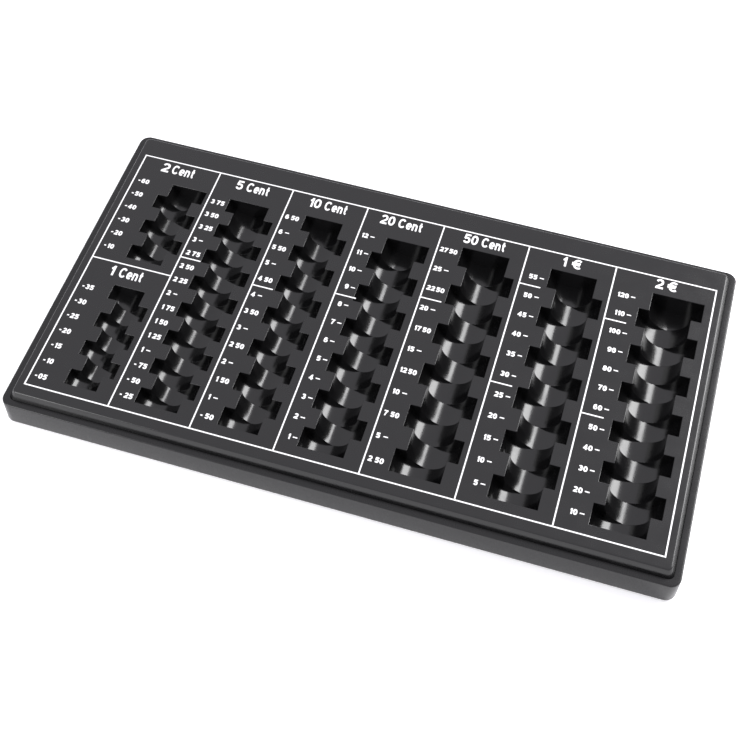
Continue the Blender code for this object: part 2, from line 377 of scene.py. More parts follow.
wells = dict(
    coinPlay=0.3 * mm,            # width of a well beyond its coin
    stagger=5.2 * mm,             # sideways step from one pocket to the next
    firstPocket=5.9 * mm,         # from the printed front line to the first pocket
    wall=1.8 * mm,
    arcSteps=22,                  # steps in each half of a well's arc
    channelSteps=12,              # the same under the plate, where nothing shows
    border=1.0 * mm,              # flat strip round the wells
    edgeRounding=0.26 * mm,
    plainTip=1.2 * mm,            # a step's edge stays sharp this close to where its arcs cross
    polishTop=0.05 * mm,          # polished from this far below the top
    polishFoot=9.0 * mm,          # and down to this far below the seam
    polishInset=4.0 * mm,         # but not this close to the board's short sides
)
printLeft = boardLow.x + 5.9 * mm
printFront = boardLow.y + 7.7 * mm


def rowLayout(row):
    radius = (row["coin"] * mm + wells["coinPlay"]) / 2
    pitch = (5 * row["thick"] + row["play"]) * mm
    centre = printLeft + row["x"] * mm
    front = printFront + wells["firstPocket"] + row["y"] * mm
    return radius, pitch, centre, front


def coinRowTree():
    # A sheet of two point rows for each pocket. Every pocket is an arc, shifted left and right
    # in turn, and the two point rows that share a place make the step between two pockets.
    tree, given = newShapeTree("coinRow", (
        ("Half Width", 'Float'), ("Depth", 'Float'), ("Stagger", 'Float'), ("Pitch", 'Float'),
        ("Pockets", 'Int'), ("Arc Steps", 'Int'), ("Start Angle", 'Float'), ("Border", 'Float'),
        ("Centre", 'Float'), ("Front", 'Float'), ("Level", 'Float'), ("Material", 'Material')))
    across = given["Arc Steps"] * 2.0 + 3.0
    sheet = addNode(tree, 'GeometryNodeMeshGrid', {"Vertices X": given["Pockets"] * 2.0,
                                                   "Vertices Y": across})
    index = Field(tree, addNode(tree, 'GeometryNodeInputIndex').outputs[0])
    row = (index / across).math('FLOOR')
    step = index - row * across - 1.0                  # -1 and the last one are the border
    pocket = (row / 2.0).math('FLOOR')
    isBack = row - pocket * 2.0
    side = (pocket - (pocket / 2.0).math('FLOOR') * 2.0) * 2.0 - 1.0
    part = (step / given["Arc Steps"]).math('MAXIMUM', 0.0).math('MINIMUM', 2.0)

    # the arc runs to the point where both circles cross, then on to the other rim
    shift = side * given["Stagger"] * 0.5
    crossing = math.tau - (shift / given["Half Width"] * -1.0).math('ARCCOSINE')
    start = given["Start Angle"] + math.pi
    firstHalf = part.math('MINIMUM', 1.0) * (crossing - start)
    secondHalf = (part - 1.0).math('MAXIMUM', 0.0) * (math.tau - given["Start Angle"] - crossing)
    angle = start + firstHalf + secondHalf

    # the border lies outside both rims, and turns each corner of the comb
    isLeft = step.math('LESS_THAN', -0.5)
    isRight = step.math('GREATER_THAN', given["Arc Steps"] * 2.0 + 0.5)
    edge = isRight - isLeft
    corner = (isBack * 2.0 - 1.0) * side * edge
    isFirst = row.math('LESS_THAN', 0.5)
    isLast = row.math('GREATER_THAN', given["Pockets"] * 2.0 - 1.5)
    inner = 1.0 - isFirst - isLast
    along = corner * inner + (isLast - isFirst) * edge * edge

    x = given["Centre"] + shift + given["Half Width"] * angle.math('COSINE') + edge * given["Border"]
    y = given["Front"] + (pocket + isBack) * given["Pitch"] + along * given["Border"]
    z = given["Level"] + given["Depth"] * angle.math('SINE') * (1.0 - edge * edge)
    place = addNode(tree, 'ShaderNodeCombineXYZ', {"X": x, "Y": y, "Z": z})
    placed = addNode(tree, 'GeometryNodeSetPosition', {"Geometry": sheet.outputs["Mesh"],
                                                       "Position": place.outputs[0]})
    closeTree(tree, placed.outputs[0], given["Material"])
    return tree


def addSheet(bm, mesh, pockets, steps):
    # Adds a row's sheet to a mesh and returns a function that finds its points.
    first = len(bm.verts)
    bm.from_mesh(mesh)
    bm.verts.ensure_lookup_table()
    across = 2 * steps + 3
    points = bm.verts[first:first + 2 * pockets * across]
    return lambda row, step: points[row * across + step + 1]


def combOutline(at, rows, last):
    # The border's outer points once round a row: up its left side and down its right side.
    left = [at(row, -1) for row in range(rows)]
    right = [at(row, last + 1) for row in range(rows)]
    return left + right[::-1]


boardShell = dict(
    plate=2.0 * mm, wall=2.4 * mm, lean=2.0 * mm, rounding=0.9 * mm, fillet=0.6 * mm,
    corner=2.8 * mm, cornerShrink=0.3, cornerSteps=10,
    skirt=3.5 * mm,               # how far the board reaches down below the seam
    skirtRounding=0.3 * mm,
    flatStart=3.3 * mm,           # inset of the flat top's outline
    boss=3.5 * mm, bossFoot=4.3 * mm, bossRounding=0.3 * mm,
    pilot=1.6 * mm, pilotTop=1.3 * mm, pilotRounding=0.2 * mm,
)
plateUnder = boardHigh.z - boardShell["plate"]


def addWells(bm, tree, row):
    # One row of wells, closed at both ends. Gives its border and the upper edges of its steps.
    radius, pitch, centre, front = rowLayout(row)
    pockets, steps = row["pockets"], wells["arcSteps"]
    lines, last = 2 * pockets, 2 * steps
    sheet = meshFromTree(tree, {
        "Half Width": radius, "Depth": radius, "Stagger": wells["stagger"], "Pitch": pitch,
        "Pockets": pockets, "Arc Steps": steps, "Start Angle": 0.0, "Border": wells["border"],
        "Centre": centre, "Front": front, "Level": topLevel, "Material": boardPlastic})
    at = addSheet(bm, sheet, pockets, steps)
    for end in (0, lines - 1):
        bm.faces.new([at(end, step) for step in range(last + 1)])
        bm.faces.new((at(end, -1), at(end, 0), at(end, last), at(end, last + 1)))

    crossing = math.sqrt(radius ** 2 - (wells["stagger"] / 2) ** 2)    # how deep two arcs cross
    stepEdges = []
    for line in range(1, lines - 1):
        side = 1 if line // 2 % 2 else -1
        for step in range(last):
            a, b = at(line, step), at(line, step + 1)
            sideways = (a.co.x + b.co.x) / 2 - centre
            fromTip = math.hypot(sideways, (a.co.z + b.co.z) / 2 - topLevel + crossing)
            if sideways * side < 0.0 and fromTip > wells["plainTip"]:
                stepEdges.append(bm.edges.get((a, b)))
    return combOutline(at, lines, last), stepEdges


def addChannel(bm, tree, row):
    # The outside of one row, hanging under the plate. Gives its outline on the plate.
    radius, pitch, centre, front = rowLayout(row)
    wall, steps = wells["wall"], wells["channelSteps"]
    depth, last = radius + wall, 2 * steps
    sheet = meshFromTree(tree, {
        "Half Width": depth + wells["stagger"] / 2, "Depth": depth, "Stagger": 0.0,
        "Pitch": row["pockets"] * pitch + 2 * wall, "Pockets": 1, "Arc Steps": steps,
        "Start Angle": math.asin(boardShell["plate"] / depth), "Border": 0.0,
        "Centre": centre, "Front": front - wall, "Level": boardHigh.z, "Material": boardPlastic})
    at = addSheet(bm, sheet, 1, steps)
    for spare, beside in ((-1, 0), (last + 1, last)):     # a channel has no border: it is folded away
        for line in (0, 1):
            at(line, spare).co = at(line, beside).co
    for end in (0, 1):
        bm.faces.new([at(end, step) for step in range(last + 1)])
    return [at(0, 0), at(0, last), at(1, last), at(1, 0)]


def addBoardEdge(bm):
    # From the flat top over the rounded edge, down to the skirt and up inside to the plate.
    inset, wall = boardShell["flatStart"], boardShell["wall"]
    skirtFoot = seamLevel - boardShell["skirt"]
    profile = roundedProfile((
        (inset, topLevel, 0.0),
        (boardShell["lean"], topLevel, boardShell["rounding"]),
        (0.0, seamLevel, 0.0),
        (0.0, skirtFoot, boardShell["skirtRounding"]),
        (wall, skirtFoot, boardShell["skirtRounding"]),
        (wall, plateUnder, boardShell["fillet"]),
        (inset, plateUnder, 0.0)), steps=6)
    rings = shellRings(bm, boardHigh.x, boardHigh.y, boardShell["corner"], profile,
                       boardShell["cornerSteps"], boardShell["cornerShrink"])
    return rings[0], rings[-1]


def addBoss(bm, screwNode):
    outer, bore = boardShell["boss"], boardShell["pilot"]
    foot = trayLow.z + boardShell["bossFoot"]
    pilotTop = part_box(screwNode)[1].z + boardShell["pilotTop"]
    profile = roundedProfile((
        (outer, plateUnder, 0.0), (outer, foot, boardShell["bossRounding"]),
        (bore, foot, boardShell["pilotRounding"]), (bore, pilotTop, 0.0)), steps=3)
    return turnedRings(bm, nodeCentre(screwNode), profile, steps=28, closed=True)[0]


def onTop(vert):
    return abs(vert.co.z - topLevel) < sameLevel


def roundRims(bm, stepEdges):
    # Rounds the steps' upper edges and the edges where the flat top ends, apart from those at
    # the board's short sides. Gives the faces that this makes.
    flat = {face for face in bm.faces if all(onTop(vert) for vert in face.verts)}
    shortSide = boardHigh.x - boardShell["flatStart"] * 1.03       # just inside the flat's outline
    rims = [edge for edge in bm.edges
            if len(edge.link_faces) == 2 and onTop(edge.verts[0]) and onTop(edge.verts[1])
            and (edge.link_faces[0] in flat) != (edge.link_faces[1] in flat)
            and abs(edge.verts[0].co.x) < shortSide]
    bmesh.ops.remove_doubles(bm, verts=bm.verts[:], dist=samePlace)
    edges = [edge for edge in rims + stepEdges if edge.is_valid]
    made = bmesh.ops.bevel(bm, geom=edges, offset=wells["edgeRounding"], segments=3,
                           profile=0.5, affect='EDGES', clamp_overlap=False)
    return set(made["faces"])


def markPolish(bm):
    polish = bm.verts.layers.float.new("polish")
    reach = boardHigh.x - wells["polishInset"]
    low, high = seamLevel - wells["polishFoot"], topLevel - wells["polishTop"]
    for vert in bm.verts:
        vert[polish] = 1.0 if abs(vert.co.x) < reach and low < vert.co.z < high else 0.0


def makeBoard():
    tree = coinRowTree()
    bm = bmesh.new()
    topLoops, underLoops, stepEdges = [], [], []
    for row in coinRows.values():
        border, upperEdges = addWells(bm, tree, row)
        topLoops.append(border)
        stepEdges += upperEdges
        underLoops.append(addChannel(bm, tree, row))
    top, under = addBoardEdge(bm)
    topLoops.append(top)
    underLoops.append(under)
    underLoops += [addBoss(bm, name) for name in screwNodes]
    fillBetween(bm, topLoops)
    fillBetween(bm, underLoops)
    bmesh.ops.recalc_face_normals(bm, faces=bm.faces[:])

    rounded = roundRims(bm, stepEdges)
    markPolish(bm)
    for face in rounded:                       # a rounding's shading ends at its own border
        for edge in face.edges:
            if any(other not in rounded for other in edge.link_faces):
                edge.smooth = False
    finishPiece(bm, "molded_board", boardPlastic, ["counting_board"])


makeBoard()


baseTray = dict(
    floor=2.0 * mm, rimWidth=3.85 * mm, flare=0.35 * mm,
    corner=5.5 * mm, cornerShrink=0.7, cornerSteps=12,
    bottomRounding=0.8 * mm, rimRounding=0.7 * mm, innerRounding=0.1 * mm, fillet=1.0 * mm,
    edgeReach=9.0 * mm,           # the outer part of the floor, drawn with the wall
    pad=5.0 * mm, padHeight=2.0 * mm, padRounding=0.3 * mm,
    padRing=5.6 * mm,             # the flat ring of floor round a pad
    screwHole=1.7 * mm, holeRounding=0.2 * mm,
    headRecess=3.2 * mm, headDepth=2.0 * mm,
    footRecess=6.3 * mm, footDepth=0.8 * mm,
)


def addPad(bm, centre, bottom, floorTop):
    # A screw's raised pad with its hole and the recess for its head below.
    padTop, recessTop = floorTop + baseTray["padHeight"], bottom + baseTray["headDepth"]
    profile = roundedProfile((
        (baseTray["padRing"], floorTop, 0.0),
        (baseTray["pad"], floorTop, 0.0),
        (baseTray["pad"], padTop, baseTray["padRounding"]),
        (baseTray["screwHole"], padTop, baseTray["holeRounding"]),
        (baseTray["screwHole"], recessTop, 0.0),
        (baseTray["headRecess"], recessTop, 0.0),
        (baseTray["headRecess"], bottom, 0.0)), steps=4)
    circles = turnedRings(bm, centre, profile, steps=32)
    return circles[0], circles[-1]


def makeTray():
    bm = bmesh.new()
    bottom, rim = trayLow.z, trayHigh.z
    floorTop = bottom + baseTray["floor"]
    reach, rimWidth = baseTray["edgeReach"], baseTray["rimWidth"]
    profile = roundedProfile((
        (reach, bottom, 0.0),
        (0.0, bottom, baseTray["bottomRounding"]),
        (baseTray["flare"], rim, baseTray["rimRounding"]),
        (rimWidth, rim, baseTray["innerRounding"]),
        (rimWidth, floorTop, baseTray["fillet"]),
        (reach, floorTop, 0.0)), steps=6)
    rings = shellRings(bm, trayHigh.x, trayHigh.y, baseTray["corner"], profile,
                       baseTray["cornerSteps"], baseTray["cornerShrink"])
    underLoops, floorLoops = [rings[0]], [rings[-1]]
    for name in frame["nodes"]:
        if name in screwNodes:
            padFoot, recess = addPad(bm, nodeCentre(name), bottom, floorTop)
            floorLoops.append(padFoot)
            underLoops.append(recess)
        elif name in footNodes:
            recess = [(baseTray["footRecess"], bottom + depth) for depth in (0.0, baseTray["footDepth"])]
            circles = turnedRings(bm, nodeCentre(name), recess, steps=40, closed=True)
            underLoops.append(circles[0])
    fillBetween(bm, underLoops)
    fillBetween(bm, floorLoops)
    bm.verts.layers.float.new("polish")        # the tray is polished nowhere
    finishPiece(bm, "molded_tray", trayPlastic, ["base_tray"])


makeTray()


def copiesTree():
    # Copies of one part, stood on points and turned by a seeded random angle.
    tree, given = newShapeTree("partCopies", (
        ("Points", 'Geometry'), ("Part", 'Object'), ("Turn", 'Float'), ("Seed", 'Int'),
        ("Material", 'Material')))
    part = addNode(tree, 'GeometryNodeObjectInfo', {"Object": given["Part"]})
    turn = addNode(tree, 'FunctionNodeRandomValue', data_type='FLOAT')
    tree.links.new(given["Turn"].socket, turn.inputs[3])
    tree.links.new(given["Seed"].socket, turn.inputs["Seed"])
    spin = addNode(tree, 'ShaderNodeCombineXYZ', {"Z": turn.outputs[1]})
    copies = addNode(tree, 'GeometryNodeInstanceOnPoints', {
        "Points": given["Points"], "Instance": part.outputs["Geometry"],
        "Rotation": spin.outputs[0]})
    closeTree(tree, copies.outputs[0], given["Material"])
    return tree


partCopies = copiesTree()


def placeCopies(name, mesh, cadNodes, material, turn, seed):
    part = addObject(name + "_part", mesh)
    points = bpy.data.meshes.new("points")
    points.from_pydata([(*nodeCentre(node), 0.0) for node in cadNodes], [], [])
    placed = meshFromTree(partCopies, {"Part": part, "Turn": turn, "Seed": seed,
                                       "Material": material}, points)
    bpy.data.objects.remove(part)
    bm = bmesh.new()
    bm.from_mesh(placed)
    finishPiece(bm, name, material, cadNodes)


panScrew = dict(
    headHeight=1.4 * mm,
    headSide=0.62 * mm,           # from the head's face to where its straight side starts
    headRounding=0.5 * mm, seatRounding=0.1 * mm, bendShare=0.78,
    faceShare=0.6,                # size of the flat face round the recess, as a share of the head
    core=1.12 * mm, crest=1.3 * mm, pitch=1.0 * mm, turnLevels=8, aroundSteps=20,
    tip=1.6 * mm, tipShare=0.15,
    crossReach=1.5 * mm, crossHalf=0.35 * mm, crossDepth=0.8 * mm, crossFloor=0.7,
)


def threadedShank(bm, bottom, top):
    # A helical ridge: each point's radius follows its height less its share of a turn.
    core, crest, pitch, around = (panScrew[key] for key in ("core", "crest", "pitch", "aroundSteps"))
    levels = int((top - bottom) / pitch * panScrew["turnLevels"])
    rings = []
    for rung in range(levels + 1):
        height = (top - bottom) * rung / levels
        taper = min(1.0, (top - bottom - height) / panScrew["tip"])
        ring = []
        for n in range(around):
            phase = (height / pitch - n / around) % 1.0
            ridge = max(0.0, 1.0 - abs(phase - 0.5) * 4.0) * min(1.0, height / pitch)
            reach = (core + (crest - core) * ridge) * max(taper, panScrew["tipShare"])
            angle = math.tau * n / around
            ring.append(bm.verts.new((reach * math.cos(angle), reach * math.sin(angle),
                                      bottom + height)))
        rings.append(ring)
    bridge(bm, rings)
    bm.faces.new(rings[-1])
    return rings[0]


def crossRing(bm, level, share):
    # The twelve corners of a cross, anticlockwise.
    reach, half = panScrew["crossReach"] * share, panScrew["crossHalf"] * share
    corners = []
    for quarter in range(4):
        turn = Matrix.Rotation(math.pi / 2 * quarter, 2)
        corners += [turn @ Vector(point) for point in ((half, half), (reach, half), (reach, -half))]
    corners.sort(key=lambda point: math.atan2(point.y, point.x))
    return [bm.verts.new((*point, level)) for point in corners]


def makeScrews(material):
    names = sorted(screwNodes)
    low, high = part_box(names[0])
    headTop, headRadius = low.z + panScrew["headHeight"], (high.x - low.x) / 2
    bm = bmesh.new()
    shankFoot = threadedShank(bm, headTop, high.z)
    head = roundedProfile((
        (panScrew["core"], headTop, 0.0),
        (headRadius, headTop, panScrew["seatRounding"]),
        (headRadius, low.z + panScrew["headSide"], panScrew["headRounding"]),
        (headRadius * panScrew["bendShare"], low.z, panScrew["headRounding"]),
        (headRadius * panScrew["faceShare"], low.z, 0.0)), steps=4)
    rings = turnedRings(bm, (0.0, 0.0), head[1:], steps=panScrew["aroundSteps"])
    bridge(bm, [shankFoot, rings[0]])
    cross = [crossRing(bm, low.z, 1.0),
             crossRing(bm, low.z + panScrew["crossDepth"], panScrew["crossFloor"])]
    bridge(bm, cross)
    bm.faces.new(cross[1])
    fillBetween(bm, [rings[-1], cross[0]])
    screw = outwardMesh(bm, "screw")
    placeCopies("pan_screws", screw, names, material, turn=math.tau, seed=4)


rubberFoot = dict(
    topRounding=0.1 * mm, rounding=0.35 * mm,
    dimple=0.2 * mm, dimpleRounding=0.1 * mm,
    dimpleStart=0.66, dimpleFloor=0.6,       # shares of the foot's radius
    middle=0.05 * mm,             # radius of the small cap at the middle
)


def makeFeet(material):
    names = sorted(footNodes)
    low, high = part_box(names[0])
    radius, dimpleTop = (high.x - low.x) / 2, low.z + rubberFoot["dimple"]
    bm = bmesh.new()
    profile = roundedProfile((
        (rubberFoot["middle"], high.z, 0.0),
        (radius, high.z, rubberFoot["topRounding"]),
        (radius, low.z, rubberFoot["rounding"]),
        (radius * rubberFoot["dimpleStart"], low.z, rubberFoot["dimpleRounding"]),
        (radius * rubberFoot["dimpleFloor"], dimpleTop, rubberFoot["dimpleRounding"]),
        (rubberFoot["middle"], dimpleTop, 0.0)), steps=4)
    rings = turnedRings(bm, (0.0, 0.0), profile, steps=40, closed=True)
    bm.faces.new(rings[0])
    foot = outwardMesh(bm, "foot")
    placeCopies("rubber_feet", foot, names, material, turn=0.0, seed=1)


makeScrews(brushedSteel())
makeFeet(rubber())


# Millimetres. left: the line to the left of the row, from the frame's left line. The other
# distances across start from there, and those to the back start from the frame's front line.
# heading: the drop from the line behind it to its middle, then each piece of text with its left
# and right end. values: the first one's middle, the step to the next one, and one coin's worth in
# cents. cells: where the euros end, where the cents start, and where a dash starts and ends.
# wide: the same from 10 euros on. ticks: where short lines divide the values. behind: the line
# behind the heading, where that isn't the frame's back line.
frameLines = dict(width=309.2, depth=153.8, middle=81.1, line=0.68, tick=11.0)
printing = {
    "cent1": dict(left=0.0, heading=(5.3, ("1", 12.1, 14.6), ("Cent", 17.3, 30.0)),
                  behind=frameLines["middle"], values=(6.2, 9.37, 1), cells=(3.8, 4.5, 0, 0), ticks=()),
    "cent2": dict(left=0.0, heading=(5.2, ("2", 11.5, 15.6), ("Cent", 17.3, 30.0)),
                  values=(90.0, 9.24, 2), cells=(3.8, 4.5, 0, 0), ticks=()),
    "cent5": dict(left=42.9, heading=(5.1, ("5", 10.9, 14.6), ("Cent", 16.8, 29.4)),
                  values=(8.2, 8.975, 5), cells=(3.9, 5.1, 5.3, 7.4), ticks=(94.2,)),
    "cent10": dict(left=84.0, heading=(5.1, ("10", 10.5, 17.0), ("Cent", 19.2, 31.6)),
                   values=(8.6, 10.577, 10), cells=(3.6, 4.8, 5.0, 7.2), ticks=(88.2,)),
    "cent20": dict(left=125.5, heading=(4.9, ("20", 8.5, 16.0), ("Cent", 18.1, 31.1)),
                   values=(9.7, 11.44, 20), cells=(5.4, 6.6, 6.6, 8.8), ticks=(95.3,)),
    "cent50": dict(left=167.1, heading=(4.6, ("50", 11.6, 19.1), ("Cent", 21.2, 33.8)),
                   values=(9.5, 12.91, 50), cells=(3.8, 5.1, 5.4, 7.6), wide=(5.8, 6.5, 7.1, 9.5),
                   ticks=(105.8,)),
    "euro1": dict(left=212.6, heading=(4.4, ("1", 18.0, 20.4), ("€", 22.6, 28.8)),
                  values=(11.6, 12.35, 100), cells=(8.1, 9.4, 9.4, 11.6), ticks=(67.4, 129.2)),
    "euro2": dict(left=258.1, heading=(4.2, ("2", 21.0, 24.9), ("€", 26.3, 32.5)),
                  values=(10.1, 11.55, 200), cells=(9.3, 10.4, 10.4, 12.6), ticks=(62.8, 120.3)),
}
lettering = dict(
    valueHeight=3.0, valueWeight=0.235,      # a weight is the stroke's width over the height
    headingHeight=6.2, headingWeight=0.185,
    gap=0.09,                     # between two letters, over the height
    dashLine=0.6, dashDrop=0.25,
    squareness=0.88,              # 1 gives true ellipses, less gives squarer ones
)


def arc(centreX, centreY, radiusX, radiusY, start, end, steps):
    # Part of a slightly squared ellipse.
    power = lettering["squareness"]
    points = []
    for step in range(steps + 1):
        angle = math.radians(start + (end - start) * step / steps)
        c, s = math.cos(angle), math.sin(angle)
        points.append((centreX + radiusX * math.copysign(abs(c) ** power, c),
                       centreY + radiusY * math.copysign(abs(s) ** power, s)))
    return points


def loop(centreX, centreY, radiusX, radiusY):
    return arc(centreX, centreY, radiusX, radiusY, 0, 360, 18)[:-1], "closed"


sixStrokes = [loop(.5, .31, .5, .31), (arc(.54, .5, .54, .5, 48, 180, 8) + [(0, .31)], "bb")]

# Width and height in cap heights, then strokes through the unit square. A stroke's two ends are
# b for bare, or s for squared past its last point by half the stroke's width. A loop is closed.
glyphShapes = {
    "0": (.66, 1, [loop(.5, .5, .5, .5)]),
    "1": (.42, 1, [([(1, 0), (1, 1)], "ss"), ([(0, .70), (.4, .75), (.82, .97)], "bb")]),
    "2": (.66, 1, [(arc(.5, .7, .5, .3, 165, -20, 8)
                    + [(.80, .45), (.42, .28), (.12, .14), (0, 0)], "bb"),
                   ([(0, 0), (1, 0)], "ss")]),
    "3": (.66, 1, [(arc(.48, .76, .46, .24, 165, -90, 8), "bb"),
                   (arc(.48, .27, .52, .27, 90, -165, 9), "bb"), ([(.3, .53), (.5, .53)], "bb")]),
    "4": (.70, 1, [([(.74, 0), (.74, 1)], "ss"), ([(0, .24), (1, .24)], "ss"),
                   ([(0, .25), (.72, 1)], "bb")]),
    "5": (.66, 1, [([(.1, 1), (.92, 1)], "bs"), ([(.15, 1), (.05, .49)], "sb"),
                   (arc(.47, .31, .53, .31, 145, -160, 10), "bb")]),
    "6": (.66, 1, sixStrokes),
    "7": (.66, 1, [([(0, 1), (1, 1)], "ss"),
                   ([(.97, 1), (.70, .66), (.46, .34), (.33, 0)], "bs")]),
    "8": (.66, 1, [loop(.5, .76, .42, .24), loop(.5, .27, .5, .27)]),
    "9": (.66, 1, [([(1 - u, 1 - v) for u, v in points], ends) for points, ends in sixStrokes]),
    "C": (.80, 1, [(arc(.5, .5, .5, .5, 38, 322, 16), "bb")]),
    "e": (.60, .74, [(arc(.5, .5, .5, .5, 0, 316, 16), "bb"), ([(0, .5), (1, .5)], "bs")]),
    "n": (.58, .74, [([(0, 0), (0, 1)], "ss"),
                     ([(0, .4)] + arc(.5, .56, .5, .44, 180, 0, 8) + [(1, 0)], "bs")]),
    "t": (.50, .97, [([(.42, 1), (.42, .25), (.52, .07), (.70, 0), (.95, 0)], "sb"),
                     ([(-.05, .70), (1.0, .70)], "bb")]),
    "€": (1.0, 1, [(arc(.62, .5, .38, .5, 48, 312, 16), "bb"), ([(0, .6), (.86, .6)], "bb"),
                   ([(0, .4), (.80, .4)], "bb")]),
    "-": (.36, 1, [([(0, .42), (1, .42)], "ss")]),
}


def strokeSolid(points, ends, weight):
    # A ribbon of even width along a line of points, as thick as the ink.
    line = [Vector(point) for point in points]
    closed = ends == "closed"
    half = weight / 2
    if ends[0] == "s":
        line[0] += (line[0] - line[1]).normalized() * half
    if ends[1] == "s":
        line[-1] += (line[-1] - line[-2]).normalized() * half
    bm = bmesh.new()
    rings = []
    for n, point in enumerate(line):
        before = point - line[n - 1] if closed or n else line[1] - point
        after = line[(n + 1) % len(line)] - point if closed or n < len(line) - 1 else before
        before, after = before.normalized(), after.normalized()
        along = (before + after).normalized()
        across = Vector((-along.y, along.x)) * (half / max(along.dot(after), 0.5))    # 0.5 caps a mitre
        rings.append([bm.verts.new((*(point + across * side), level))
                      for side, level in ((1, 0), (-1, 0), (-1, inkThickness), (1, inkThickness))])
    bridge(bm, rings + rings[:1] if closed else rings)
    if not closed:
        bm.faces.new(rings[0])
        bm.faces.new(rings[-1])
    return addObject("stroke", outwardMesh(bm, "stroke"))


def makeGlyphs(characters, weight):
    # One object for each character, its strokes united, at cap height 1.
    group = bpy.data.collections.new("glyphs")
    for number, character in enumerate(characters):
        width, height, strokes = glyphShapes[character]
        items = []
        for points, ends in strokes:
            scaled = [(weight / 2 + u * (width - weight), weight / 2 + v * (height - weight))
                      for u, v in points]
            items.append(strokeSolid(scaled, ends, weight))
        for other in items[1:]:
            modifier = items[0].modifiers.new("unite", 'BOOLEAN')
            modifier.operation, modifier.solver, modifier.object = 'UNION', 'EXACT', other
        graph = bpy.context.evaluated_depsgraph_get()
        mesh = bpy.data.meshes.new_from_object(items[0].evaluated_get(graph))
        group.objects.link(bpy.data.objects.new(f"glyph{number:02d}", mesh))
        for item in items:
            bpy.data.objects.remove(item)
    return group


def layText(text, left, baseline, height, stretch=1.0, fromRight=False):
    # Places for a run of characters: each one's corner and size. With fromRight it ends at left.
    places, x = [], 0.0
    for character in text:
        places.append((character, x, baseline, stretch * height, height))
        x += (glyphShapes[character][0] + lettering["gap"]) * stretch * height
    shift = left - (x - lettering["gap"] * stretch * height if fromRight else 0.0)
    return [(c, x + shift, y, across, up) for c, x, y, across, up in places]


def naturalWidth(text):
    return sum(glyphShapes[c][0] + lettering["gap"] for c in text) - lettering["gap"]


def headingPlaces():
    places = []
    height = lettering["headingHeight"]
    for entry in printing.values():
        drop, *pieces = entry["heading"]
        middle = entry.get("behind", frameLines["depth"]) - drop
        for text, start, end in pieces:
            stretch = (end - start) / (naturalWidth(text) * height)
            places += layText(text, entry["left"] + start, middle - height / 2, height, stretch)
    return places


def valuePlaces():
    # The value of a full row up to each pocket, with a dash in place of no euros or no cents.
    places, dashes = [], []
    height = lettering["valueHeight"]
    for name, entry in printing.items():
        first, pitch, worth = entry["values"]
        for number in range(coinRows[name]["pockets"]):
            total = 5 * worth * (number + 1)
            euros, cents = divmod(total, 100)
            cells = entry["wide"] if euros > 9 and "wide" in entry else entry["cells"]
            eurosEnd, centsStart, dashStart, dashEnd = cells
            middle = first + number * pitch
            base = middle - height / 2
            places += layText(str(euros) if euros else "-", entry["left"] + eurosEnd, base,
                              height, fromRight=True)
            if cents:
                places += layText(f"{cents:02d}", entry["left"] + centsStart, base, height)
            else:
                front = middle - lettering["dashDrop"]
                dashes.append((entry["left"] + dashStart, front, entry["left"] + dashEnd,
                               front + lettering["dashLine"]))
    return places, dashes


def glyphTree():
    tree, given = newShapeTree("printedText", (
        ("Points", 'Geometry'), ("Glyphs", 'Collection'), ("Material", 'Material')))
    glyphs = addNode(tree, 'GeometryNodeCollectionInfo', {
        "Collection": given["Glyphs"], "Separate Children": True, "Reset Children": True})
    which = addNode(tree, 'GeometryNodeInputNamedAttribute', {"Name": "glyph"}, data_type='INT')
    size = addNode(tree, 'GeometryNodeInputNamedAttribute', {"Name": "size"},
                   data_type='FLOAT_VECTOR')
    placed = addNode(tree, 'GeometryNodeInstanceOnPoints', {
        "Points": given["Points"], "Instance": glyphs.outputs[0], "Pick Instance": True,
        "Instance Index": which.outputs["Attribute"], "Scale": size.outputs["Attribute"]})
    closeTree(tree, placed.outputs[0], given["Material"])
    return tree


def printText(name, places, weight):
    characters = sorted({place[0] for place in places})
    glyphs = makeGlyphs(characters, weight)
    points = bpy.data.meshes.new("points")
    points.from_pydata([(printLeft + x * mm, printFront + y * mm, topLevel)
                        for c, x, y, across, up in places], [], [])
    which = points.attributes.new("glyph", 'INT', 'POINT')
    size = points.attributes.new("size", 'FLOAT_VECTOR', 'POINT')
    for number, (character, x, y, across, up) in enumerate(places):
        which.data[number].value = characters.index(character)
        size.data[number].vector = (across * mm, up * mm, 1.0)
    text = meshFromTree(glyphTree(), {"Glyphs": glyphs, "Material": ink}, points)
    for item in list(glyphs.objects):
        bpy.data.objects.remove(item)
    bm = bmesh.new()
    bm.from_mesh(text)
    # the union of strokes leaves spare points on straight edges
    bmesh.ops.dissolve_limit(bm, angle_limit=0.0005, verts=bm.verts[:], edges=bm.edges[:])
    finishPiece(bm, name, ink, [])


